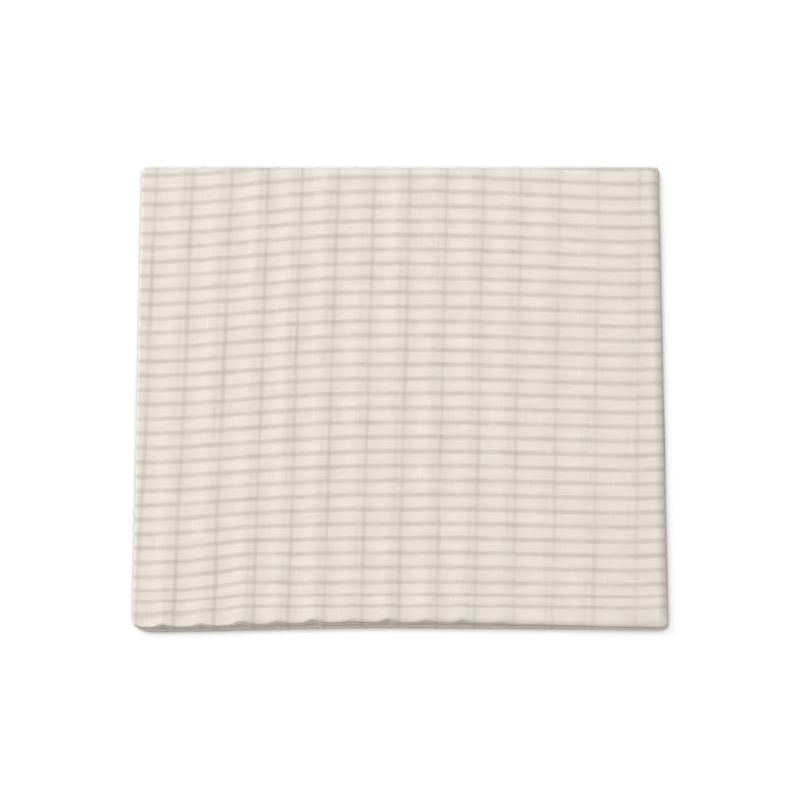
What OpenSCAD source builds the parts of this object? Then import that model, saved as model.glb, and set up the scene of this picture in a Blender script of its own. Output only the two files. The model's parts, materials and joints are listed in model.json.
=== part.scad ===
// A woven baby wrap put away as a flat bundle: a long cloth with both rails
// turned under to the centre line, then fan folded into leaves.
// Millimetres. X across the bundle, front at -Y, Z up, bottom leaf on Z = 0.

/* [Cloth] */
// Width of the unfolded wrap, rail to rail
wrap_w = 700; // [600:5:750]
// Length of the top leaf of the fan fold
leaf_l = 306; // [240:1:360]
// Thickness of one layer of cloth
cloth_t = 0.5; // [0.35:0.05:0.8]

/* [Folding] */
// Air between one leaf and the next
leaf_gap = 0.2; // [0.1:0.05:0.4]
// How far the bottom leaf has spread past the top one on each side
spread = 3.25; // [1:0.25:4]
// Corner radius of the leaves seen from above
corner_r = 4; // [2:0.5:10]

/* [Hems] */
// Width of the hem along each rail
rail_w = 8; // [5:0.5:14]
// Air between the two rails where they meet
rail_gap = 2; // [1:0.5:6]
// Depth of the hem across each tail
tail_w = 12; // [8:1:20]

/* [Top leaf] */
// Distance between two warp stripes, which is also that between two puckers
warp_pitch = 25; // [18:0.5:34]
// Height of the tallest puckers
pucker_h = 1.2; // [0.4:0.1:2]
// Part of each pucker that rises, before its steep fall
pucker_rise = 0.72; // [0.55:0.01:0.85]
// Where the puckers begin to flatten, to the right of the centre line
fade_from = 50; // [0:5:100]
// Width over which they flatten
fade_w = 50; // [20:5:75]
// Share of their height that is left at the right
fade_left = 0.3; // [0:0.05:1]
// Radius of the soft edges of the top leaf
soft_r = 3; // [2.5:0.25:5]

/* [Hidden] */
$fn = 48;
leaves = 12;
// Folds from this one up are hinges; the ones below it stay closed under the weight above
first_hinge = 7;
leaf_w = wrap_w / 2;
leaf_t = 2 * cloth_t;
pitch = leaf_t + leaf_gap;
turn_r = leaf_t + leaf_gap / 2;
top_h = leaf_t + pucker_h;
// Points along each pucker, and the angle between points round a soft edge
pucker_points = 6;
arc_step = 18;
// How far a cutting box or a section runs past what it cuts
past = 1;
// The corner arcs stand a little outside the leaf, so that they cross its edges at an angle
proud = 0.3;
cloth_col = [0.87, 0.84, 0.78];
hem_col = [0.83, 0.79, 0.73];

function two(k) = str(k < 10 ? "0" : "", k);
function name_of(k, part) = str("leaf_", two(k), "_", part);

// Odd leaves lie with the panel down, even ones with it up
function panel_up(k) = k % 2 == 0;

// Fold i lies between leaf i and the next, odd ones at the front; 0 and the last are the tails
function front_fold(k) = panel_up(k) ? k - 1 : k;
function back_fold(k) = panel_up(k) ? k : k - 1;
function is_tail(i) = i == 0 || i == leaves;
function is_turn(i) = i > 0 && i < first_hinge;

// Lower folds have spread further than upper ones
function fold_y(i) = leaf_l / 2 + spread * (1 - 2 * floor(i / 2) / leaves);
function end_y(i) = fold_y(i) - (is_turn(i) ? turn_r : 0);
function half_w(k) = leaf_w / 2 + spread * (leaves - k) / (leaves - 1);
function base_z(k) = (k - 1) * pitch;

// Shape of one pucker: a slow rise and a steep fall, over f from 0 to 1
function tooth(f) =
  f < pucker_rise
    ? (1 - cos(180 * f / pucker_rise)) / 2
    : (1 + cos(180 * (f - pucker_rise) / (1 - pucker_rise))) / 2;
function phase(x) = x / warp_pitch - floor(x / warp_pitch);

// The puckers are strong on the left and almost flat on the right
function fade(x) = 1 - (1 - fade_left) * min(1, max(0, (x - fade_from) / fade_w));
function pucker(x) = pucker_h * fade(x) * tooth(phase(x));

// Quarter round that brings the top leaf down at its left and right sides
function soft(d) = d >= soft_r ? 1 : sqrt(1 - pow(1 - d / soft_r, 2));
function top_z(x, w) = cloth_t + (cloth_t + pucker(x)) * soft(w / 2 - abs(x));

module plan(w, y0, y1) {
  // Outline of a leaf from above, with round corners
  r = corner_r;
  mid = (y0 + y1) / 2;
  wide = w + 2 * proud;
  long = y1 - y0 + 2 * proud;
  translate([0, mid]) {
    square([wide - 2 * r, long], center = true);
    square([wide, long - 2 * r], center = true);
    for (sx = [-1, 1], sy = [-1, 1])
      translate([sx * (wide / 2 - r), sy * (long / 2 - r)])
        circle(r);
  }
}

module flat_section(w) {
  // Section across a lower leaf: a bar whose round ends are the side turns
  translate([-w / 2 + cloth_t, 0])
    square([w - leaf_t, leaf_t]);
  for (s = [-1, 1])
    translate([s * (w / 2 - cloth_t), cloth_t])
      circle(cloth_t);
}

module top_section(w) {
  // Section across the top leaf: round below, puckered above
  n = pucker_points * ceil(w / warp_pitch);
  inner = w / 2 - soft_r;
  right = [for (a = [arc_step : arc_step : 90 - arc_step]) w / 2 - soft_r * (1 - cos(a))];
  middle = [for (i = [n : -1 : 0]) inner * (2 * i / n - 1)];
  left = [for (a = [90 - arc_step : -arc_step : arc_step]) -w / 2 + soft_r * (1 - cos(a))];
  foot = w / 2 - cloth_t;
  polygon(concat(
    [for (a = [0 : arc_step : 90]) [foot + cloth_t * sin(a), cloth_t * (1 - cos(a))]],
    [for (x = concat(right, middle, left)) [x, top_z(x, w)]],
    [for (a = [90 : -arc_step : 0]) [-foot - cloth_t * sin(a), cloth_t * (1 - cos(a))]]
  ));
}

module long_section(k, y0, y1) {
  // Section along leaf k: at a hinge, the layer outside the fold is rounded over
  h = k < leaves ? leaf_t : top_h;
  r = k < leaves ? cloth_t : soft_r;
  difference() {
    translate([y0, 0])
      square([y1 - y0, h]);
    if (!is_turn(front_fold(k)))
      difference() {
        translate([y0 - past, panel_up(k) ? h - r : -past])
          square(past + r);
        translate([y0 + r, panel_up(k) ? h - r : r])
          circle(r);
      }
    if (!is_turn(back_fold(k)) && !is_tail(back_fold(k)))
      difference() {
        translate([y1 - cloth_t, panel_up(k) ? -past : h - cloth_t])
          square(past + cloth_t);
        translate([y1 - cloth_t, panel_up(k) ? cloth_t : h - cloth_t])
          circle(cloth_t);
      }
  }
}

module leaf(k) {
  // The whole of leaf k as one body, which its pieces are cut from
  w = 2 * half_w(k);
  y0 = -end_y(front_fold(k));
  y1 = end_y(back_fold(k));
  translate([0, 0, base_z(k)])
    intersection() {
      translate([0, 0, -past])
        linear_extrude(height = top_h + 2 * past)
          plan(w, y0, y1);
      translate([0, y1 + past, 0])
        rotate([90, 0, 0])
          linear_extrude(height = y1 - y0 + 2 * past)
            if (k < leaves)
              flat_section(w);
            else
              top_section(w);
      translate([-w / 2 - past, 0, 0])
        rotate([90, 0, 90])
          linear_extrude(height = w + 2 * past)
            long_section(k, y0, y1);
    }
}

module window(k, x0, x1, up) {
  // Box over one layer of leaf k from x0 to x1, short of any tail hem
  y0 = -leaf_l;
  tail = is_tail(back_fold(k));
  y1 = tail ? end_y(back_fold(k)) - tail_w : leaf_l;
  translate([x0, y0, base_z(k) + (up ? cloth_t : -past)])
    cube([x1 - x0, y1 - y0, up ? top_h : past + cloth_t]);
}

module panel(k) {
  // The middle half of the cloth
  color(cloth_col)
    intersection() {
      leaf(k);
      window(k, -leaf_w, leaf_w, panel_up(k));
    }
}

module flaps(k) {
  // The two outer quarters of the cloth, turned under
  inner = rail_gap / 2 + rail_w;
  color(cloth_col)
    for (s = [-1, 1])
      intersection() {
        leaf(k);
        window(k, s < 0 ? -leaf_w : inner, s < 0 ? -inner : leaf_w, !panel_up(k));
      }
}

module rails(k) {
  // The hemmed long edges, which meet on the centre line
  near = rail_gap / 2;
  far = near + rail_w;
  color(hem_col)
    for (s = [-1, 1])
      intersection() {
        leaf(k);
        window(k, s < 0 ? -far : near, s < 0 ? -near : far, !panel_up(k));
      }
}

module turn(i) {
  // The round turn of a lower fold, from leaf i up to the next one
  w = 2 * half_w(i + 1) - 2 * corner_r;
  s = i % 2 == 0 ? 1 : -1;
  color(cloth_col)
    translate([-w / 2, s * end_y(i), i * pitch - leaf_gap / 2])
      rotate([90, 0, 90])
        linear_extrude(height = w)
          intersection() {
            circle(turn_r);
            translate([s < 0 ? -2 * turn_r : 0, -2 * turn_r])
              square([2 * turn_r, 4 * turn_r]);
          }
}

module tail_hem(k) {
  // The hem across the end of the cloth, on the first and the last leaf
  color(hem_col)
    intersection() {
      leaf(k);
      translate([-leaf_w, end_y(back_fold(k)) - tail_w, base_z(k) - past])
        cube([2 * leaf_w, tail_w + past, top_h + 2 * past]);
    }
}

for (k = [1 : leaves]) {
  panel(k);
  flaps(k);
  rails(k);
}
for (i = [1 : first_hinge - 1])
  turn(i);
tail_hem(1);  // bottom_tail_hem
tail_hem(leaves);  // top_tail_hem
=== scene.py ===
import json
import math

import bpy
import numpy as np
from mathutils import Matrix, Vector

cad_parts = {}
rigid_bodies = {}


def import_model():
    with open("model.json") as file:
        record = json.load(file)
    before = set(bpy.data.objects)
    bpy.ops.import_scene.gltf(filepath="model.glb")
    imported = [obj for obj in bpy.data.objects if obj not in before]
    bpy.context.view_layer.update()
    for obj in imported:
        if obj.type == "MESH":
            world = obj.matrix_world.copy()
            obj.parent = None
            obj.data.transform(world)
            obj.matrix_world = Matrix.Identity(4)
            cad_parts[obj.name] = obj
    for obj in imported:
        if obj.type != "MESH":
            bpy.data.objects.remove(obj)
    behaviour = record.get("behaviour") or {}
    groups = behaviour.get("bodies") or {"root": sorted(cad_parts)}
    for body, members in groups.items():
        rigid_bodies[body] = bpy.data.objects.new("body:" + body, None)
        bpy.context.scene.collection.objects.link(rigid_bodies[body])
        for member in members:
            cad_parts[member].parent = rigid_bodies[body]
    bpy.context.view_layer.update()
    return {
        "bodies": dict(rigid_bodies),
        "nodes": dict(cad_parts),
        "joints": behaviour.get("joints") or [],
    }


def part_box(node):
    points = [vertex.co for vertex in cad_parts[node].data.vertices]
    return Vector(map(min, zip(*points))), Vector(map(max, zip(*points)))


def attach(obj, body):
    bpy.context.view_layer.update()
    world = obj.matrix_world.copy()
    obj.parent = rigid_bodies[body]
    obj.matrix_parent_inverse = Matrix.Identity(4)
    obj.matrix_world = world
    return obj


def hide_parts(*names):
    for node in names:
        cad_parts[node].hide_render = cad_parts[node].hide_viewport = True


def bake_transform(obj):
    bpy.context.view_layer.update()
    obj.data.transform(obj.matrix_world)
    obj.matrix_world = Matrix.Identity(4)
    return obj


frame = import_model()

scene = bpy.context.scene
mm = 0.001
leafCount = 12


# what the frame says about the leaves and the folds

def boxOf(*nodes):
    corners = np.array([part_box(node) for node in nodes])
    return corners[:, 0].min(0), corners[:, 1].max(0)


def leafNode(k, part):
    return f"leaf_{k:02d}_{part}"


def panelUp(k):
    return k % 2 == 0  # odd leaves lie with the panel down


def bodyOf(k):
    name = f"leaf_{k:02d}"
    return name if name in frame["bodies"] else "lower_leaves"


def foldNumber(joint):
    return int(joint["name"][5:7])  # fold_07_hinge is fold 7


def foldPlaces():
    # fold number to (y, z) of its edge: a hinge's axis, or the outermost line of a round turn
    places = {}
    for joint in frame["joints"]:
        places[foldNumber(joint)] = tuple(joint["pos_m"][1:])
    for i in range(1, min(places)):
        low, high = boxOf(f"fold_{i:02d}_turn")
        places[i] = (high[1] if i % 2 == 0 else low[1], (low[2] + high[2]) / 2)
    places[0] = (boxOf("bottom_tail_hem")[1][1], 0)
    places[leafCount] = (boxOf("top_tail_hem")[1][1], 0)
    return places


folds = foldPlaces()
hinged = sorted(foldNumber(joint) for joint in frame["joints"])
clothT = float(np.diff([p[2] for p in boxOf("leaf_11_flaps")])[0])
leafL = folds[leafCount][0] - folds[leafCount - 1][0]
halfFlat = float(boxOf("leaf_12_panel")[1][0])  # half the bundle's width, a quarter of the cloth's
railOuter = float(boxOf("leaf_12_rails")[1][0])
tailDepth = float(np.diff([p[1] for p in boxOf("top_tail_hem")])[0])
print(f"frame: {leafCount} leaves, {2 * halfFlat:.3f} by {leafL:.3f} m, cloth {clothT / mm:.2f} mm")


# small helpers

def smooth(t):
    t = np.clip(t, 0, 1)
    return t * t * (3 - 2 * t)


def slowNoise(x, seed, longest=0.25, waves=4, shorter=0.83, spread=1.7):
    # sum of a few sines of random phase, each shorter and weaker than the last: about -1 to 1
    rng = np.random.default_rng(seed)
    total = np.zeros_like(np.asarray(x, float))
    for n in range(waves):
        phase = rng.uniform(0, 6.3)
        total = total + np.sin(2 * math.pi * x * (1 + shorter * n) / longest + phase) / (1 + n)
    return total / spread


def gridQuads(index):
    # a quad between each two neighbouring rows and columns of vertex numbers
    corners = index[:-1, :-1], index[:-1, 1:], index[1:, 1:], index[1:, :-1]
    return np.stack(corners, axis=-1).reshape(-1, 4)


def gridMesh(name, grids, material):
    # each surface is given as rows of points, with the flat place of each point
    points, quads, corners = [], [], []
    for grid, uv in grids:
        rows, cols = grid.shape[:2]
        one = gridQuads(np.arange(rows * cols).reshape(rows, cols))
        quads.append(one + sum(len(p) for p in points))
        corners.append(uv.reshape(-1, 2)[one.ravel()])
        points.append(grid.reshape(-1, 3))
    return quadMesh(name, np.concatenate(points), np.concatenate(quads), np.concatenate(corners), material)


def quadMesh(name, points, quads, cornerUv, material):
    mesh = bpy.data.meshes.new(name)
    mesh.vertices.add(len(points))
    mesh.vertices.foreach_set("co", points.astype(np.float32).ravel())
    mesh.loops.add(quads.size)
    mesh.loops.foreach_set("vertex_index", quads.astype(np.int32).ravel())
    mesh.polygons.add(len(quads))
    mesh.polygons.foreach_set("loop_start", np.arange(0, quads.size, 4, dtype=np.int32))
    layer = mesh.uv_layers.new(name="weave")
    layer.uv.foreach_set("vector", cornerUv.astype(np.float32).ravel())
    mesh.polygons.foreach_set("use_smooth", np.ones(len(quads), bool))
    mesh.update(calc_edges=True)
    mesh.validate()
    piece = bpy.data.objects.new(name, mesh)
    scene.collection.objects.link(piece)
    mesh.materials.append(material)
    return piece


def thicken(piece, thickness):
    solidify = piece.modifiers.new("thickness", "SOLIDIFY")
    solidify.thickness = thickness
    solidify.offset = 0
    solidify.use_rim = True


# materials

def addNode(tree, kind, **settings):
    made = tree.nodes.new(kind)
    for key, value in settings.items():
        setattr(made, key, value)
    return made


def feed(tree, socket, value):
    if hasattr(value, "is_output"):
        tree.links.new(value, socket)
    else:
        socket.default_value = value


def calc(tree, operation, *values):
    made = addNode(tree, "ShaderNodeMath", operation=operation)
    for socket, value in zip(made.inputs, values):
        feed(tree, socket, value)
    return made.outputs[0]


def ramp(tree, value, low, high, start=0.0, end=1.0):
    made = addNode(tree, "ShaderNodeMapRange", interpolation_type="SMOOTHSTEP")
    for socket, item in zip(made.inputs, (value, low, high, start, end)):
        feed(tree, socket, item)
    return made.outputs[0]


def noiseAt(tree, u, v, scaleU, scaleV, detail):
    # noise stretched by its own scale along each thread direction
    place = addNode(tree, "ShaderNodeCombineXYZ")
    feed(tree, place.inputs[0], calc(tree, "MULTIPLY", u, scaleU))
    feed(tree, place.inputs[1], calc(tree, "MULTIPLY", v, scaleV))
    made = addNode(tree, "ShaderNodeTexNoise", noise_dimensions="2D")
    made.inputs["Scale"].default_value = 1.0
    made.inputs["Detail"].default_value = detail
    feed(tree, made.inputs["Vector"], place.outputs[0])
    return made.outputs["Fac"]


def mixColour(tree, factor, first, second):
    made = addNode(tree, "ShaderNodeMix", data_type="RGBA")
    feed(tree, made.inputs[0], factor)
    feed(tree, made.inputs[6], first)
    feed(tree, made.inputs[7], second)
    return made.outputs[2]


def linear(r, g, b):
    # screen colour out of 255 to the linear colour that a shader takes
    return tuple(((c / 255 + 0.055) / 1.055) ** 2.4 for c in (r, g, b)) + (1.0,)


def newMaterial(name):
    material = bpy.data.materials.new(name)
    material.use_nodes = True
    return material, material.node_tree


def flatPlace(tree):
    # place on the flat cloth in metres, across and along
    uv = addNode(tree, "ShaderNodeUVMap", uv_map="weave")
    split = addNode(tree, "ShaderNodeSeparateXYZ")
    tree.links.new(uv.outputs[0], split.inputs[0])
    return split.outputs[0], split.outputs[1]


def addBump(tree, shader, height, distance, strength):
    made = addNode(tree, "ShaderNodeBump")
    made.inputs["Strength"].default_value = strength
    made.inputs["Distance"].default_value = distance
    tree.links.new(height, made.inputs["Height"])
    tree.links.new(made.outputs[0], shader.inputs["Normal"])


weave = dict(
    cream=linear(233.4, 225.5, 214.4),
    shadeYarn=linear(228.4, 220.5, 208.4),
    stripe=linear(188, 174, 160),
    slub=linear(243, 237, 228),
    weftPitch=9.656 * mm,  # between two stripes that run across
    warpPitch=25.3 * mm,  # between two stripes that run along the wrap
    weftReach=(0.05 * mm, 2.75 * mm),  # from a stripe's middle to where its tone begins to go, and has gone
    warpReach=(0.15 * mm, 2.4 * mm),
    weftTone=(0.39, 0.57),  # least and most of the stripe colour along a stripe
    warpTone=(0.14, 0.36),
    fade=(1.12, 0.62),  # painted shade: stripes along are stronger on the left than on the right, where the larger puckers shade them
    fadeAcross=(-0.13, 0.15),
    beside=4.9 * mm,  # a fainter stripe runs along this far to the left of each one
    besideReach=(0.2 * mm, 1.6 * mm),
    besideTone=(0.0, 0.12),
    slubAcrossTone=(0.7, 0.78, 0.7),  # noise where slubs begin and are full, and their strength
    slubAlongTone=(0.71, 0.79, 0.5),
    wander=(2.2 * mm, 1.0 * mm),  # of the stripes along, and of those across
    patchy=(0.3, 0.7),  # noise that counts as none, and as full
    besidePatchy=(0.45, 0.75),
    # noise: waves per metre across and along, and how many finer ones lie on top
    warpWander=(30, 9, 2),
    weftWander=(14, 30, 2),
    weftPatches=(60, 90, 2),
    warpPatches=(40, 14, 2),
    besidePatches=(55, 22, 2),
    mottle=(45, 130, 4),
    slubAcross=(42, 1100, 1),
    slubAlong=(800, 45, 1),
    fibre=(2200, 2200, 3),
    fibreShare=0.8,  # height of the fibres beside that of the yarns
    yarn=0.62 * mm,
    bump=0.05 * mm,
    bumpStrength=0.6,
    roughness=(0.82, 0.95),
    sheen=0.08,
    sheenRoughness=0.5,
    specular=0.2,
)


def clothMaterial():
    # windowpane check on a plain weave, with mottled ground and pale slubs, and painted shade that makes the
    # stripes along darker to the left
    material, tree = newMaterial("checkedCotton")
    shader = tree.nodes["Principled BSDF"]
    u, v = flatPlace(tree)

    def noise(kind):
        return noiseAt(tree, u, v, *weave[kind])

    def wander(kind, amount):
        return calc(tree, "MULTIPLY", calc(tree, "SUBTRACT", noise(kind), 0.5), amount)

    def stripes(place, pitch, reach):
        # 1 where the distance to the nearest multiple of the pitch is small, 0 past its reach
        return ramp(tree, calc(tree, "PINGPONG", place, pitch / 2), *reach, 1, 0)

    def patchyTone(mask, kind, patchy, tone):
        return calc(tree, "MULTIPLY", mask, ramp(tree, noise(kind), *patchy, *tone))

    uStripe = calc(tree, "ADD", u, wander("warpWander", weave["wander"][0]))
    vStripe = calc(tree, "ADD", v, wander("weftWander", weave["wander"][1]))
    weft = stripes(vStripe, weave["weftPitch"], weave["weftReach"])
    weftTone = patchyTone(weft, "weftPatches", weave["patchy"], weave["weftTone"])
    warp = stripes(uStripe, weave["warpPitch"], weave["warpReach"])
    warpTone = patchyTone(warp, "warpPatches", weave["patchy"], weave["warpTone"])
    beside = stripes(calc(tree, "ADD", uStripe, weave["beside"]), weave["warpPitch"], weave["besideReach"])
    besideTone = patchyTone(beside, "besidePatches", weave["besidePatchy"], weave["besideTone"])
    warpTone = calc(tree, "MAXIMUM", warpTone, besideTone)
    # painted shade: the stripes along grow darker towards the left
    warpTone = calc(tree, "MULTIPLY", warpTone, ramp(tree, u, *weave["fadeAcross"], *weave["fade"]))

    mottle = ramp(tree, noise("mottle"), *weave["patchy"])
    ground = mixColour(tree, mottle, weave["cream"], weave["shadeYarn"])
    for kind in ("slubAcross", "slubAlong"):
        begin, full, strength = weave[kind + "Tone"]
        ground = mixColour(tree, ramp(tree, noise(kind), begin, full, 0, strength), ground, weave["slub"])
    for tone in (weftTone, warpTone):
        ground = mixColour(tree, tone, ground, weave["stripe"])
    tree.links.new(ground, shader.inputs["Base Color"])

    # plain weave: over and under in both directions, as a product of two sines, with fibres on top
    turns = math.pi / weave["yarn"]
    over = calc(tree, "MULTIPLY", calc(tree, "SINE", calc(tree, "MULTIPLY", u, turns)),
                calc(tree, "SINE", calc(tree, "MULTIPLY", v, turns)))
    fibre = noise("fibre")
    height = calc(tree, "ADD", over, calc(tree, "MULTIPLY", fibre, weave["fibreShare"]))
    addBump(tree, shader, height, weave["bump"], weave["bumpStrength"])
    tree.links.new(ramp(tree, fibre, *weave["patchy"], *weave["roughness"]), shader.inputs["Roughness"])
    shader.inputs["Sheen Weight"].default_value = weave["sheen"]
    shader.inputs["Sheen Roughness"].default_value = weave["sheenRoughness"]
    shader.inputs["Specular IOR Level"].default_value = weave["specular"]
    return material


thread = dict(
    colour=linear(232, 224, 212),
    # painted shade for the grooves of the twist
    dark=linear(218, 209, 196),
    twist=0.45 * mm,
    bands=(-0.4, 0.8),  # heights of the wave below which the painted groove shade is full, and above which it is gone
    bump=0.04 * mm,
    roughness=0.7,
    sheen=0.1,
)


def threadMaterial():
    # two-ply sewing thread: slanting bands along each stitch, with painted shade in the grooves of the twist
    material, tree = newMaterial("cottonThread")
    shader = tree.nodes["Principled BSDF"]
    band = calc(tree, "MULTIPLY", calc(tree, "ADD", *flatPlace(tree)), 2 * math.pi / thread["twist"])
    band = calc(tree, "SINE", band)
    # painted shade: the colour darkens where the twist's bump is low
    shade = ramp(tree, band, *thread["bands"])
    tree.links.new(mixColour(tree, shade, thread["dark"], thread["colour"]), shader.inputs["Base Color"])
    addBump(tree, shader, band, thread["bump"], 1.0)
    shader.inputs["Roughness"].default_value = thread["roughness"]
    shader.inputs["Sheen Weight"].default_value = thread["sheen"]
    return material


cotton = clothMaterial()
sewingThread = threadMaterial()
print("materials: checked cotton, cotton thread")


# the fall of the cloth: puckers, and how the check lies on the bundle

pucker = dict(
    height=1.25 * mm,
    climb=0.55,  # each pucker is steepest this far from its stripe to the next
    fall=0.82,  # and falls all the way from here on
    sizes=(0.9, 0.9, 1.0, 1.0, 1.0, 1.0, 0.75, 0.9, 0.85, 0.8, 0.7, 0.5, 0.4, 0.35, 0.35, 0.3),
    sizeAt=0.75,  # each size is reached this far between its two stripes
    uneven=0.12,  # share by which they grow and shrink in slow waves
    unevenWave=(3.3, 21),  # radians of that wave per pucker and per metre along
    flare=0.6,  # they stand up more at the front edge
    flareReach=10 * mm,
    ridgePower=2.2,  # the higher, the narrower the ridges at the front fold
    ridgeSide=5 * mm,  # ridges die out this close to the sides
    ridgeReach=0.3 * mm,  # a ridge slopes this much further back from the front fold
    notch={11: 1.3 * mm, 9: 1.2 * mm, 7: 0.9 * mm, 5: 0.5 * mm},  # and the front folds step back under it
    ripple=0.42,  # share of the puckers in the layer under the top one
    samples=201,
)
lie = dict(
    bowLeftBack=8.9 * mm,  # how far the stripes across sag towards the front at each side
    bowLeftFront=6.3 * mm,
    bowRightBack=5.2 * mm,
    bowRightFront=1.8 * mm,
    bowFrom=0.12,  # share of the half width where the sag begins
    rise=1.0 * mm,  # they rise again at the right end, from this share on
    riseFrom=0.86,
    skew=8.2 * mm,  # the stripes along lean to the left towards the front
    drift=(-1.0, -4.6, 4.9, 5.9),  # and drift sideways: a cubic of the share of the half width, in mm
    leftDrift=1.1 * mm,  # with a little more near the left side
    leftDriftAt=-0.172,
    leftDriftReach=0.012,
    start=0.5 * mm,  # the front fold lies this far past a stripe across
    crowd=4.7 * mm,  # the last stripes across lie this much further in
    crowdReach=(9.7 * mm, 27.7 * mm),
    slow=1.4 * mm,  # and the ones behind them this much, dying out slowly
    slowReach=(10 * mm, 130 * mm),
    ease=2.6 * mm,  # but the fold itself lies further out again
    easeReach=12 * mm,
    spread=1.3 * mm,  # the first ones at the back lie further out
    spreadReach=45 * mm,
    roundFront=1.2 * mm,  # cloth that goes round a fold, at the front and at the back
    roundBack=1.0 * mm,
    slack=3.2 * mm,  # the cloth lies a little slack round one place near the front left
    slackAt=(-0.1, 0.03),
    slackReach=(0.028, 0.04),
    slackAside=0.7,  # share of the slack that moves the stripes along
    slackAsideReach=0.022,
    kink=0.15 * mm,  # stripes across step back over each pucker
    kinkFront=0.8 * mm,  # and step more near the front edge
    kinkReach=25 * mm,
)


def along(y):
    return np.clip((y - folds[leafCount - 1][0]) / leafL, 0, 1)  # 0 at the front, 1 at the back


def bell(x, centre, reach):
    return np.exp(-((x - centre) / reach) ** 2)


def stripePlace(x, y):
    # place across the flat cloth: x less a lean that grows to the back, a slow cubic drift, the slack, and
    # a little more at the left
    t = x / halfFlat
    even, first, second, third = lie["drift"]
    drift = (even + first * t + second * t ** 2 + third * t ** 3) * mm
    drift = drift + lie["slackAside"] * lie["slack"] * bell(x, lie["slackAt"][0], lie["slackAsideReach"])
    drift = drift + lie["leftDrift"] * bell(x, lie["leftDriftAt"], lie["leftDriftReach"])
    return x - lie["skew"] * along(y) - drift


def stripeSag(x, y):
    # the stripes across sag to the front at both sides, more at the back than at the front
    t = np.abs(x) / halfFlat
    s = along(y)
    leftSag = lie["bowLeftFront"] + (lie["bowLeftBack"] - lie["bowLeftFront"]) * s
    rightSag = lie["bowRightFront"] + (lie["bowRightBack"] - lie["bowRightFront"]) * s
    rightSag = rightSag - lie["rise"] * smooth((t - lie["riseFrom"]) / (1 - lie["riseFrom"]))
    return np.where(x < 0, leftSag, rightSag) * smooth((t - lie["bowFrom"]) / (1 - lie["bowFrom"]))


def puckerShape():
    # slope: smoothly from falling to climbing up to climb, back to falling by fall, then even;
    # height: running sum of the slope less its mean, scaled to 0 to 1
    f = np.linspace(0, 1, pucker["samples"])
    climb, fall = pucker["climb"], pucker["fall"]
    slope = np.where(f < climb, smooth(f / climb), 1 - smooth((f - climb) / (fall - climb)))
    step = (slope[1:] + slope[:-1]) / 2
    height = np.concatenate([[0], np.cumsum(step - step.mean())])
    return f, (height - height.min()) / (height.max() - height.min())


puckerAt, puckerHeight = puckerShape()


def toothAt(x, y):
    # the pucker's shape between two stripes, times a size that runs smoothly from pucker to pucker
    phase = stripePlace(x, y) / weave["warpPitch"]
    sizes = np.array(pucker["sizes"])
    size = np.interp(phase, np.arange(len(sizes)) - len(sizes) // 2 + pucker["sizeAt"], sizes)
    shape = np.interp(phase - np.floor(phase), puckerAt, puckerHeight)
    perPucker, perMetre = pucker["unevenWave"]
    return shape * size * (1 + pucker["uneven"] * np.sin(perPucker * phase + perMetre * y))


def ridgeAt(x, half):
    # 1 on top of a full pucker at the front fold, falling off quickly, and 0 at the sides
    tooth = toothAt(x, folds[leafCount - 1][0])
    return np.clip(tooth, 0, 1) ** pucker["ridgePower"] * smooth((half - np.abs(x)) / pucker["ridgeSide"])


# leaves

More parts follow.
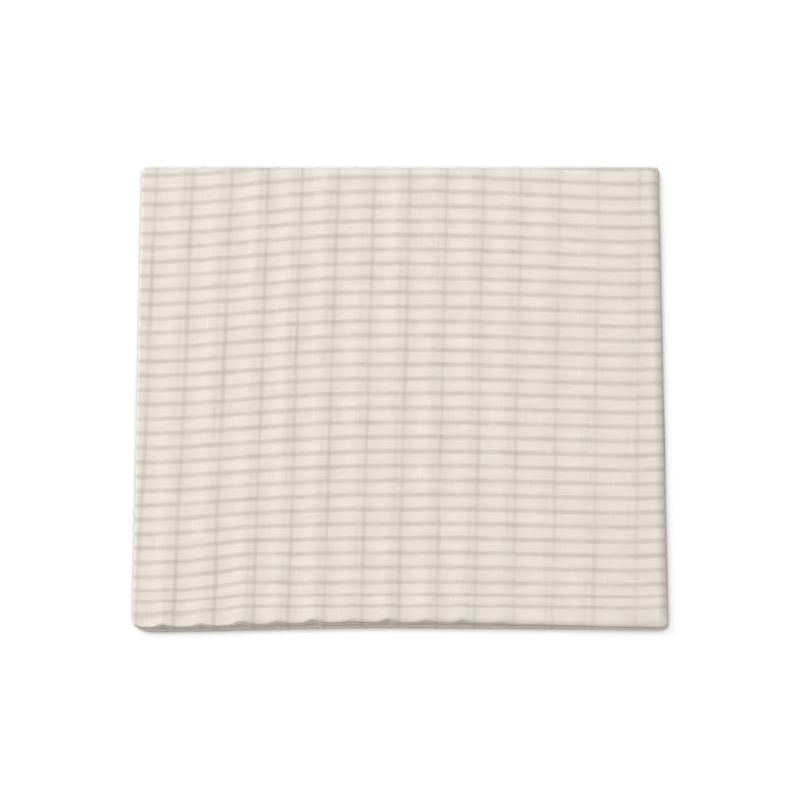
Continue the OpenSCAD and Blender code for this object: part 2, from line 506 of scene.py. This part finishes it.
leafShape = dict(
    thickness=0.36 * mm,
    noseOuter=1.0 * mm,  # reach of a fold's outer layer round its edge
    noseInner=0.5 * mm,
    # per kind of fold: how far its outer and inner layers stay behind its line
    inset={
        "frontHinged": (0.4 * mm, 0.8 * mm),
        "frontTurned": (0.2 * mm, 0.6 * mm),
        "backHinged": (0.0 * mm, 0.2 * mm),
        "backTurned": (0.6 * mm, 1.0 * mm),
        "tail": (0.5 * mm, 0.5 * mm),
    },
    # and the reach of its left and right corners, across and along
    corner={
        "frontHinged": ((9.0 * mm, 2.6 * mm), (4.0 * mm, 1.9 * mm)),
        "frontTurned": ((16 * mm, 8 * mm), (5.0 * mm, 4.0 * mm)),
        "backHinged": ((1.2 * mm, 0.4 * mm), (1.2 * mm, 0.4 * mm)),
        "backTurned": ((3.6 * mm, 3.0 * mm), (3.6 * mm, 3.0 * mm)),
        "tail": ((1.2 * mm, 1.2 * mm), (1.2 * mm, 1.2 * mm)),
    },
    seamRow=4,  # the cloth of a hinged fold ends this many rows from the edge
    flatEnd=(1.6 * mm, 8 * mm),  # lower layers lie flat next to a fold
    sideSoft=0.7 * mm,  # reach of the turn over a side
    noseSide=2.1 * mm,  # an outer nose shrinks to an inner one this close to a side
    topSoft=(1.4 * mm, 5.0 * mm),  # softer sides of the top leaf's panel, left and right
    flapSoft=(1.2 * mm, 3.0 * mm),  # and of its flaps
    droop=(0.3 * mm, 1.2 * mm),  # which hang down a little beside the pile
    crown=0.45 * mm,  # air under the top leaf's panel
    crownReach=14 * mm,  # it grows to that from the front edge
    crownUneven=0.5,
    crownSlant=0.6,
    crownWave=0.2,
    roll=(0.3 * mm, 2.6 * mm),  # the pile sinks this much towards its left and right sides, at the top
    rollReach=5.6 * mm,
    sideColumns=12 * mm,  # columns are closer in this stretch
    sideArcs=8,
    # the front edges curve in
    bow={11: 3.1 * mm, 9: 2.8 * mm, 7: 2.5 * mm, 5: 2.4 * mm, 3: 2.3 * mm, 1: 2.3 * mm},
    # and stand out on the left, and stay back on the right
    out={
        1: (0.3 * mm, -0.9 * mm),
        3: (0.0 * mm, -0.9 * mm),
        5: (0.0 * mm, -0.8 * mm),
        7: (0.0 * mm, -0.5 * mm),
        9: (0.0 * mm, -0.3 * mm),
    },
    outFrom=0.15,  # from this share of the half width, over the next stretch
    outOver=0.6,
    noseRows=9,
    closeRows=16,  # in this stretch behind the top leaf's front edge
    closeReach=9 * mm,
    wander=0.4 * mm,  # of the sides and front edges
    topWander=0.4,  # share of it at the sides of the top leaf
    seeds=dict(crown=5, front=40, side=70),
    slim=0.9865,  # share of the solids' width that the cloth takes
    taper=0.008,  # it is this share wider at the front than at the back
    # how far the left and right sides of the upper leaves, and of the rest, are pulled out
    pulled={
        12: (0.7 * mm, 1.0 * mm),
        11: (0.0 * mm, 0.5 * mm),
        10: (-0.3 * mm, 0.4 * mm),
        9: (-0.6 * mm, 0.2 * mm),
    },
    pulledBelow=(-0.8 * mm, 0.0 * mm),
    pulledFrom=0.94,  # share of the way to a side where that begins
    # columns across and rows along, for the leaves that can be opened, and for the rest
    grid={12: (190, 80), 11: (130, 60), 10: (120, 50), 9: (120, 50), 8: (120, 50), 7: (120, 50)},
    gridBelow=(60, 24),
)
hem = dict(
    thickness=0.42 * mm,
    overlap=0.4 * mm,  # of a rail hem on its flap
    railInset=1.2 * mm,  # from the centre line to a rail's edge
    railColumns=6,
    nose=0.35 * mm,  # reach of the turn at a tail
    under=0.22 * mm,  # depth of the cloth turned in there
    tailThickness=0.176 * mm,
    turnRows=7,
    tailRows=6,
)


class leafPlan:
    # sizes of one leaf, from its CAD boxes and from the two folds at its ends
    def __init__(self, k):
        low, high = boxOf(leafNode(k, "panel"), leafNode(k, "flaps"))
        self.k = k
        self.up = panelUp(k)
        self.half = high[0]
        self.base = low[2]
        self.top = k == leafCount
        self.frontFold = k - 1 if self.up else k
        self.backFold = k if self.up else k - 1
        self.tail = self.backFold in (0, leafCount)
        self.zPanel = self.base + clothT * (1.5 if self.up else 0.5)
        self.zFlap = self.base + clothT * (0.5 if self.up else 1.5)
        self.zMid = self.base + clothT
        self.across, self.straight = leafShape["grid"].get(k, leafShape["gridBelow"])
        seam = leafShape["seamRow"]
        first = seam if self.frontFold in hinged else 0
        last = -seam if self.backFold in hinged else None
        self.keep = slice(first, last)


def softSides(plan, onPanel):
    s = leafShape
    if plan.top:
        return s["topSoft"] if onPanel else s["flapSoft"]
    return s["sideSoft"], s["sideSoft"]


def crossColumns(half, soft, count, inner=0.0):
    # x from inner out to half: even steps, then closer ones where the cloth turns over the side
    corner = half - leafShape["sideColumns"]
    flat = np.linspace(inner, corner, count, endpoint=False)
    a = np.linspace(0, math.pi / 2, leafShape["sideArcs"])
    near = corner + (half - soft - corner) * np.sin(a[:-1])
    return np.concatenate([flat, near, half - soft + soft * np.sin(a)])


def sheetColumns(plan, across, inner):
    # across the flat cloth: left flap, panel, right flap; weight is 1 on the panel and 0 on the flaps
    flap = crossColumns(plan.half, softSides(plan, False)[0], across // 2, inner)
    panelLeft = crossColumns(plan.half, softSides(plan, True)[0], across // 2)
    panelRight = crossColumns(plan.half, softSides(plan, True)[1], across // 2)
    panel = np.concatenate([-panelLeft[:0:-1], panelRight])
    x = np.concatenate([-flap[:-1], panel, flap[-2::-1]])
    weight = np.concatenate([np.zeros(len(flap) - 1), np.ones(len(panel)), np.zeros(len(flap) - 1)])
    u = np.concatenate([-2 * plan.half - x[:len(flap) - 1], panel, 2 * plan.half - x[-len(flap) + 1:]])
    return x, weight, u


def softAt(x, half, soft):
    # quarter circle: 1 on the flat, 0 at the side
    d = np.clip(1 - (half - np.abs(x)) / np.where(x < 0, soft[0], soft[1]), 0, 1)
    return np.sqrt(np.clip(1 - d * d, 0, 1))


def cornerAt(x, half, size):
    # how far a corner arc of the given reach takes the end back at x
    t = np.clip((np.abs(x) - (half - size[0])) / size[0], 0, 1)
    return size[1] * (1 - np.sqrt(1 - t * t))


def rippleOf(z):
    # share of the puckers in the layers below the top one: it grows with the square of the height
    low = boxOf(leafNode(hinged[0], "panel"))[1][2]
    high = boxOf(leafNode(leafCount, "panel"))[0][2]
    return pucker["ripple"] * np.clip((z - low) / (high - low), 0, 1) ** 2


def fromEnds(plan, y):
    # 0 in the stretch next to a fold, 1 further in
    near, far = leafShape["flatEnd"]
    share = smooth((y - folds[plan.frontFold][0] - near) / (far - near))
    if plan.tail:
        return share
    return share * smooth((folds[plan.backFold][0] - near - y) / (far - near))


def rollOff(plan, x, y, z):
    # square of the way across the last stretch, times a share that grows with height, and none at the folds
    s = leafShape
    across = np.clip(1 - (plan.half - np.abs(x)) / s["rollReach"], 0, 1) ** 2
    share = np.clip(z / boxOf(leafNode(leafCount, "panel"))[1][2], 0, 1)
    return np.where(x < 0, *s["roll"]) * across * share * fromEnds(plan, y)


def layerHeight(plan, x, y, weight):
    # height of the middle of the cloth, with its puckers and the turns at the sides
    s = leafShape
    onPanel = weight > 0.5
    tooth = pucker["height"] * toothAt(x, y)
    flatter = fromEnds(plan, y) * tooth
    lift = np.where(onPanel, rippleOf(plan.zPanel), rippleOf(plan.zFlap)) * flatter
    if plan.top:
        # the puckers of the top panel flare at the front edge
        inward = np.clip(y - folds[plan.frontFold][0], 0, 1)
        flare = 1 + pucker["flare"] * np.exp(-inward / pucker["flareReach"])
        swell = slowNoise(x + s["crownSlant"] * y, s["seeds"]["crown"], s["crownWave"])
        crown = s["crown"] * smooth(inward / s["crownReach"]) * (1 + s["crownUneven"] * swell)
        lift = np.where(onPanel, tooth * flare + crown, lift)
    flat = np.where(onPanel, plan.zPanel, plan.zFlap)
    panelEase = softAt(x, plan.half, softSides(plan, True))
    flapEase = softAt(x, plan.half, softSides(plan, False))
    ease = np.where(onPanel, panelEase, flapEase)
    level = plan.zMid + rippleOf(plan.zMid) * flatter
    if plan.top:
        level = level - np.where(x < 0, *s["droop"]) * fromEnds(plan, y)
    z = level * (1 - ease) + (flat + lift) * ease
    return z - rollOff(plan, x, y, z)


def foldKind(i):
    if i in (0, leafCount):
        return "tail"
    return ("back" if i % 2 == 0 else "front") + ("Hinged" if i in hinged else "Turned")


def foldEdge(i, x, half, outer):
    # y of the cloth at fold i: its line, less an inset, the corner arcs, a bow, a little wander, and the
    # notches under the ridges
    s = leafShape
    sign = 1 if i % 2 == 0 else -1
    kind = foldKind(i)
    left, right = s["corner"][kind]
    t = x / half
    outLeft, outRight = s["out"].get(i, (0, 0))
    back = np.where(outer, *s["inset"][kind])
    back = back + np.where(x < 0, cornerAt(x, half, left), cornerAt(x, half, right))
    back = back + s["bow"].get(i, 0) * (1 - t ** 2) ** 2
    back = back - outLeft * smooth((-t - s["outFrom"]) / s["outOver"])
    back = back - outRight * smooth((t - s["outFrom"]) / s["outOver"])
    if sign < 0:
        back = back + s["wander"] * (1 - slowNoise(x, s["seeds"]["front"] + i)) / 2
    back = back + pucker["notch"].get(i, 0) * ridgeAt(x, half)
    return folds[i][0] - sign * back


def rowShares(plan):
    # even rows from front to back, closer ones near the top leaf's front edge
    near = leafShape["closeReach"] / leafL if plan.top else 0
    start = np.linspace(0, near, leafShape["closeRows"], endpoint=False) if plan.top else []
    return np.concatenate([start, np.linspace(near, 1, plan.straight)])[:, None]


def leafSurface(plan, x, weight, u):
    # rows run from the front fold to the back one; at a fold the cloth is a quarter ellipse to the edge
    s = leafShape
    onPanel = weight > 0.5
    arc = np.linspace(0, math.pi / 2, s["noseRows"])
    side = softAt(x, plan.half, (s["noseSide"], s["noseSide"]))
    outer = s["noseInner"] + (s["noseOuter"] - s["noseInner"]) * side
    front = foldEdge(plan.frontFold, x, plan.half, onPanel)
    reachFront = np.where(onPanel, outer, s["noseInner"])
    ridge = np.zeros_like(x)
    if plan.top:
        ridge = np.where(onPanel, ridgeAt(x, plan.half), 0)
        reachFront = reachFront + ridge * pucker["ridgeReach"]
    back = foldEdge(plan.backFold, x, plan.half, ~onPanel)
    reachBack = np.where(onPanel, s["noseInner"], outer)
    y0 = front + reachFront
    y1 = back - (hem["nose"] if plan.tail else reachBack)
    y = y0 + rowShares(plan) * (y1 - y0)
    z = layerHeight(plan, x, y, weight)
    # under a ridge of the top leaf the ellipse gives way to a straight slope
    even = np.linspace(0, 1, s["noseRows"])[:-1, None]
    turn = arc[:-1, None]
    zTip = folds[plan.frontFold][1]
    noseY = front + reachFront * ((1 - ridge) * (1 - np.cos(turn)) + ridge * even)
    noseZ = zTip + (z[0] - zTip) * ((1 - ridge) * np.sin(turn) + ridge * even)
    y = np.concatenate([noseY, y])
    z = np.concatenate([noseZ, z])
    if not plan.tail:
        zTip = folds[plan.backFold][1]
        noseY = y1 + reachBack * np.sin(arc[1:])[:, None]
        noseZ = zTip + (z[-1] - zTip) * np.cos(arc[1:])[:, None]
        y = np.concatenate([y, noseY])
        z = np.concatenate([z, noseZ])
    return np.stack([sideways(plan, x, y), y, z], axis=-1), clothPlace(plan, x, y, z, u)


def sideways(plan, x, y):
    # x on the slimmer cloth: wider to the front, with sides that wander, and are pulled out or in at the edge
    s = leafShape
    side = s["wander"] * slowNoise(y, s["seeds"]["side"] + plan.k) * (s["topWander"] if plan.top else 1)
    wider = s["slim"] + side / plan.half + s["taper"] * (0.5 - along(y))
    pull = smooth((np.abs(x) / plan.half - s["pulledFrom"]) / (1 - s["pulledFrom"]))
    left, right = s["pulled"].get(plan.k, s["pulledBelow"])
    return x * wider + np.where(x < 0, -left, right) * pull


def clothPlace(plan, x, y, z, u):
    # run from the front fold: by y, and by arc length round the fold itself
    nose = leafShape["noseRows"] - 1
    step = np.hypot(np.diff(y[:nose + 1], axis=0), np.diff(z[:nose + 1], axis=0))
    run = y - folds[plan.frontFold][0]
    run[:nose] = run[nose] - np.cumsum(step[::-1], axis=0)[::-1]
    return clothUv(plan, x, y, u, run)


def clothUv(plan, x, y, u, run):
    # flat place of each point, across and along
    return np.stack([u + stripePlace(x, y) - x, alongCloth(plan, x, y, run)], axis=-1)


def alongCloth(plan, x, y, run):
    # leaves follow each other along the wrap, every second one the other way; stripes across sag at the
    # sides, step back over the puckers, and crowd near the front edge
    inward = np.clip(y - folds[plan.frontFold][0], 0, 1)
    kink = lie["kink"] + lie["kinkFront"] * np.exp(-inward / lie["kinkReach"])
    slack = bell(x, lie["slackAt"][0], lie["slackReach"][0])
    slack = slack * bell(inward, lie["slackAt"][1], lie["slackReach"][1])
    shift = stripeSag(x, y) - kink * toothAt(x, y) - lie["slack"] * slack
    near, far = lie["crowdReach"]
    slowNear, slowFar = lie["slowReach"]
    place = run + lie["start"] - lie["crowd"] * (1 - smooth((run - near) / (far - near)))
    place = place - lie["slow"] * (1 - smooth((run - slowNear) / (slowFar - slowNear)))
    place = place + lie["ease"] * (1 - smooth(run / lie["easeReach"]))
    place = place - lie["spread"] * smooth((run - leafL) / lie["spreadReach"] + 1)
    atFront = lie["start"] - lie["crowd"] - lie["slow"] + lie["ease"] - lie["roundFront"]
    atBack = leafL + lie["start"] - lie["spread"] + lie["roundBack"]
    if plan.up:
        return place + shift - (leafCount - plan.k) * (atBack - atFront)
    return 2 * atFront - place + shift - (leafCount - 1 - plan.k) * (atBack - atFront)


def makeLeaf(k):
    plan = leafPlan(k)
    points, uv = leafSurface(plan, *sheetColumns(plan, plan.across, railOuter))
    piece = gridMesh(f"leaf_{k:02d}_cloth", [(points[plan.keep], uv[plan.keep])], cotton)
    thicken(piece, leafShape["thickness"])
    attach(piece, bodyOf(k))
    turned = [f"fold_{k:02d}_turn"] if f"fold_{k:02d}_turn" in frame["nodes"] else []
    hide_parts(leafNode(k, "panel"), leafNode(k, "flaps"), *turned)
    return plan, piece


def makeRails(plan):
    # two strips of turned cloth along the centre line, in the flaps' layer
    made = []
    for sign in (-1, 1):
        x = sign * np.linspace(railOuter + hem["overlap"], hem["railInset"], hem["railColumns"])
        points, uv = leafSurface(plan, x, np.zeros_like(x), sign * 2 * plan.half - x)
        made.append((points[plan.keep], uv[plan.keep]))
    piece = gridMesh(f"leaf_{plan.k:02d}_railHems", made, cotton)
    thicken(piece, hem["thickness"])
    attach(piece, bodyOf(plan.k))
    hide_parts(leafNode(plan.k, "rails"))
    return piece


leaves = {}
for k in range(1, leafCount + 1):
    plan, piece = makeLeaf(k)
    leaves[k] = (plan, piece, makeRails(plan))
print(f"leaves: {len(leaves)} folded sheets with their rail hems")


# cloth round the edge of each hinged fold, as it lies at rest

bend = dict(
    edgeRow=3,  # the strip leaves each leaf's curve at this row from the edge, and goes straight across
    reach=0.08 * mm,  # half a height about a fold's line
)


def makeBend(i):
    # rows run from the leaf below, round the edge, to the leaf above
    lower, upper = leaves[i][0], leaves[i + 1][0]
    atFront = i % 2 == 1
    seam, edge = leafShape["seamRow"], bend["edgeRow"]
    halves = []
    for plan in (lower, upper):
        x, weight, u = sheetColumns(plan, max(lower.across, upper.across), hem["railInset"])
        points, uv = leafSurface(plan, x, weight, u)
        rows = slice(seam, edge - 1, -1) if atFront else slice(-seam - 1, -edge)
        halves.append((points[rows], uv[rows]))
    points, uv = (np.concatenate([a, b[::-1]]) for a, b in zip(*halves))
    onPanel = np.flatnonzero(weight > 0.5)
    first, last = onPanel[0], onPanel[-1]
    cuts = {"panel": [slice(first, last + 1)], "flaps": [slice(0, first + 1), slice(last, None)]}
    made = []
    for part, columns in cuts.items():
        piece = gridMesh(f"fold_{i:02d}_{part}Bend", [(points[:, c], uv[:, c]) for c in columns], cotton)
        thicken(piece, leafShape["thickness"])
        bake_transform(piece)
        made.append(piece)
    return made


bends = {i: makeBend(i) for i in hinged}
print(f"bends: {len(bends)} hinged folds")


# tail hems and stitching

def makeTail(k, name):
    # an end of the cloth: a small half circle to the inner side, then straight back between the two layers
    plan = leaves[k][0]
    x, weight, u = sheetColumns(plan, plan.across, hem["railInset"])
    edge = foldEdge(plan.backFold, x, plan.half, True) - hem["nose"]
    inward = np.sign(plan.zMid - np.where(weight > 0.5, plan.zPanel, plan.zFlap))
    turn = np.linspace(0, math.pi, hem["turnRows"])[:, None]
    share = np.linspace(0, 1, hem["tailRows"])[1:, None]
    deep = tailDepth - hem["nose"]
    y = np.concatenate([edge + hem["nose"] * np.sin(turn), edge - share * deep])
    under = np.concatenate([(1 - np.cos(turn)) / 2, np.ones_like(share)])
    z = layerHeight(plan, x, np.minimum(y, edge), weight) + inward * hem["under"] * under
    past = np.concatenate([hem["nose"] * turn, hem["nose"] * math.pi + share * deep])
    run = edge - folds[plan.frontFold][0] + past
    points = np.stack([sideways(plan, x, y), y, z], axis=-1)
    piece = gridMesh(name, [(points, clothUv(plan, x, y, u, run))], cotton)
    thicken(piece, hem["tailThickness"])
    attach(piece, bodyOf(k))
    return piece


tails = {1: makeTail(1, "bottomTailHem"), leafCount: makeTail(leafCount, "topTailHem")}
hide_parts("bottom_tail_hem")
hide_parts("top_tail_hem")
print("tails: two end hems")

stitch = dict(
    length=2.3 * mm,
    pitch=3.0 * mm,
    radius=0.14 * mm,
    sink=0.4,  # share of the radius that lies in the cloth
    dive=1.2,  # and how much more at its ends
    tip=0.02,  # square of the share of the radius that is left there
    rings=6,
    sides=6,
    fromFold=5 * mm,
    fromSide=5 * mm,
    fromRailEdge=1.3 * mm,
    fromTailEdge=1.2 * mm,
)


def stitchMesh(name, start, direction, normal):
    # each stitch is a short round bar: it thins with the fourth power of the way to its ends, and dives
    # into the cloth with the square
    rings, sides = stitch["rings"], stitch["sides"]
    t = np.linspace(-1, 1, rings)[:, None]
    a = np.linspace(0, 2 * math.pi, sides, endpoint=False)[None, :]
    thick = stitch["radius"] * np.sqrt(np.clip(1 - t ** 4, stitch["tip"], 1))
    side = np.cross(direction, normal)
    lengthways = np.broadcast_to(t * stitch["length"] / 2, (rings, sides))
    aside = thick * np.cos(a)
    upright = thick * np.sin(a) - stitch["radius"] * (stitch["sink"] + stitch["dive"] * t ** 2)
    points = start[:, None, None]
    for amount, way in ((lengthways, direction), (aside, side), (upright, normal)):
        points = points + amount[None, ..., None] * way[:, None, None]
    index = np.arange(rings * sides).reshape(rings, sides)
    one = gridQuads(np.concatenate([index, index[:, :1]], axis=1))
    quads = (one[None] + (np.arange(len(start)) * rings * sides)[:, None, None]).reshape(-1, 4)
    around = np.broadcast_to(a * stitch["radius"], (rings, sides))
    place = np.stack([lengthways, around], axis=-1).reshape(-1, 2)
    corner = np.tile(place[one.ravel()], (len(start), 1))
    return quadMesh(name, points.reshape(-1, 3), quads, corner, sewingThread)


def railStitches(k):
    # one row along the inner side of each rail hem, on the face that opens to view
    plan = leaves[k][0]
    facing = -1.0 if plan.up else 1.0
    y0 = folds[plan.frontFold][0] + stitch["fromFold"]
    y1 = folds[plan.backFold][0] - stitch["fromFold"]
    y = np.arange(y0, y1, stitch["pitch"])
    starts = []
    for sign in (-1, 1):
        x = np.full_like(y, sign * (railOuter - stitch["fromRailEdge"]))
        z = layerHeight(plan, x, y, np.zeros_like(x)) + facing * hem["thickness"] / 2
        starts.append(np.stack([sideways(plan, x, y), y, z], axis=-1))
    start = np.concatenate(starts)
    direction = np.tile([0.0, 1.0, 0.0], (len(start), 1))
    normal = np.tile([0.0, 0.0, facing], (len(start), 1))
    piece = stitchMesh(f"leaf_{k:02d}_railStitches", start, direction, normal)
    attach(piece, bodyOf(k))
    return piece


def tailStitches(k, name):
    # a row across the tail hem on the panel's face, and one on each flap
    plan = leaves[k][0]
    outward = 1.0 if plan.up else -1.0
    edge = plan.half - stitch["fromSide"]
    x = np.arange(-edge, edge, stitch["pitch"])
    y = np.full_like(x, folds[plan.backFold][0] - tailDepth + stitch["fromTailEdge"])
    starts, normals = [], []
    for weight, facing in ((1.0, outward), (0.0, -outward)):
        z = layerHeight(plan, x, y, np.full_like(x, weight)) + facing * leafShape["thickness"] / 2
        starts.append(np.stack([sideways(plan, x, y), y, z], axis=-1))
        normals.append(np.tile([0.0, 0.0, facing], (len(x), 1)))
    start = np.concatenate(starts)
    direction = np.tile([1.0, 0.0, 0.0], (len(start), 1))
    piece = stitchMesh(name, start, direction, np.concatenate(normals))
    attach(piece, bodyOf(k))
    return piece


stitches = {k: [railStitches(k)] for k in range(hinged[0], leafCount + 1)}
stitches[leafCount].append(tailStitches(leafCount, "topTailStitches"))
stitches[1] = [tailStitches(1, "bottomTailStitches")]
print("stitching: rails and tails")


# floor, light and camera

studio = dict(
    floorGlow=0.84,  # round the object, rising to white away from it
    floorSeen=0.19,  # what the camera sees of the light that falls on the floor
    floorBounce=0.8,  # what the floor gives back to the cloth
    floorLift=0.3,  # light that the floor adds under the edges, as a light table does
    whiteFrom=(0.5, 2.5),  # metres away where the floor begins to rise, and is white
    floorReach=12.0,
    contact=4.6 * mm,  # a painted contact shadow in the glow is deepest this close to the cloth
    contactTone=0.5,
    contactOpen=0.5,  # share of open sky that counts as closest
    contactSamples=12,
    worldStrength=0.45,
    keyStrength=2.3,  # light at the middle of the floor, facing the lamp
    keyAngle=26.0,  # apparent size of the lamp, for soft shadows
    keyFrom=(-0.58, 0.46, 1.0),
    keyDistance=8.0,
)


def makeFloor():
    # to the camera, a glow with a painted contact shadow that darkens it close to the cloth, white far off,
    # with a share of the light that falls on it, so that the cast shadow stays; to the cloth, a plain pale
    # floor
    mesh = bpy.data.meshes.new("floor")
    reach = studio["floorReach"]
    corners = [(-reach, -reach, 0), (reach, -reach, 0), (reach, reach, 0), (-reach, reach, 0)]
    mesh.from_pydata(corners, [], [(0, 1, 2, 3)])
    floor = bpy.data.objects.new("floor", mesh)
    scene.collection.objects.link(floor)
    material, tree = newMaterial("paleFloor")
    tree.nodes.clear()
    out = addNode(tree, "ShaderNodeOutputMaterial")
    diffuse = addNode(tree, "ShaderNodeBsdfDiffuse")
    glow = addNode(tree, "ShaderNodeEmission")
    path = addNode(tree, "ShaderNodeLightPath")
    seen = calc(tree, "MAXIMUM", path.outputs["Is Camera Ray"], path.outputs["Is Glossy Ray"])
    seen = calc(tree, "MAXIMUM", seen, path.outputs["Is Transmission Ray"])
    tree.links.new(ramp(tree, seen, 0, 1, studio["floorBounce"], studio["floorSeen"]), diffuse.inputs[0])
    place = addNode(tree, "ShaderNodeTexCoord")
    away = addNode(tree, "ShaderNodeVectorMath", operation="LENGTH")
    tree.links.new(place.outputs["Object"], away.inputs[0])
    near = addNode(tree, "ShaderNodeAmbientOcclusion", samples=studio["contactSamples"])
    near.inputs["Distance"].default_value = studio["contact"]
    tone = ramp(tree, away.outputs["Value"], *studio["whiteFrom"], studio["floorGlow"], 1.0)
    # painted contact shadow: occlusion close to the cloth dims the glow
    shade = ramp(tree, near.outputs["AO"], studio["contactOpen"], 1.0, studio["contactTone"], 1.0)
    tone = calc(tree, "MULTIPLY", tone, shade)
    tree.links.new(ramp(tree, seen, 0, 1, studio["floorLift"], tone), glow.inputs["Strength"])
    both = addNode(tree, "ShaderNodeAddShader")
    tree.links.new(diffuse.outputs[0], both.inputs[0])
    tree.links.new(glow.outputs[0], both.inputs[1])
    tree.links.new(both.outputs[0], out.inputs[0])
    mesh.materials.append(material)


def makeLight():
    # an even white sky, and one large soft lamp from the back left
    world = bpy.data.worlds.new("studioWorld")
    scene.world = world
    world.use_nodes = True
    tree = world.node_tree
    back = tree.nodes["Background"]
    path = addNode(tree, "ShaderNodeLightPath")
    strength = ramp(tree, path.outputs["Is Camera Ray"], 0, 1, studio["worldStrength"], 1.0)
    tree.links.new(strength, back.inputs["Strength"])
    back.inputs["Color"].default_value = (1, 1, 1, 1)
    far = studio["keyDistance"]
    lamp = bpy.data.lights.new("key", "AREA")
    lamp.shape = "DISK"
    lamp.size = 2 * far * math.tan(math.radians(studio["keyAngle"]) / 2)
    lamp.energy = studio["keyStrength"] * math.pi * far ** 2
    key = bpy.data.objects.new("key", lamp)
    key.visible_camera = False
    scene.collection.objects.link(key)
    aim(key, far * np.array(studio["keyFrom"]) / np.linalg.norm(studio["keyFrom"]), (0, 0, 0))


def aim(thing, place, target):
    # turn local -Z from place to target
    ahead = np.subtract(target, place)
    thing.location = place
    thing.rotation_mode = "QUATERNION"
    thing.rotation_quaternion = Vector(ahead).to_track_quat("-Z", "Y")


shot = dict(
    elevation=83.0,
    distance=1.308,
    frontPixels=538.0,  # width of the solids' front edge in the picture
    frontRow=628.2,  # and its row
    picture=800.0,
    clipStart=0.05,
)


def makeCamera():
    # the lens makes the front edge as wide as in the picture, and the aim puts it on its row
    e = math.radians(shot["elevation"])
    zTop = boxOf(leafNode(leafCount, "panel"))[1][2]
    yFront = folds[leafCount - 1][0]
    depth = shot["distance"] + yFront * math.cos(e)
    focal = shot["frontPixels"] * depth / (2 * halfFlat)  # in pixels
    below = (shot["frontRow"] - shot["picture"] / 2) * depth / focal / math.sin(e)
    target = np.array([0, yFront + below, zTop])
    cameraData = bpy.data.cameras.new("camera")
    cameraData.lens = focal * cameraData.sensor_width / shot["picture"]
    cameraData.clip_start = shot["clipStart"]
    camera = bpy.data.objects.new("camera", cameraData)
    scene.collection.objects.link(camera)
    place = target + shot["distance"] * np.array([0, -math.cos(e), math.sin(e)])
    aim(camera, place, target)
    scene.camera = camera


makeFloor()
makeLight()
makeCamera()
scene.view_settings.view_transform = "Standard"
print("studio: floor, key light, camera")
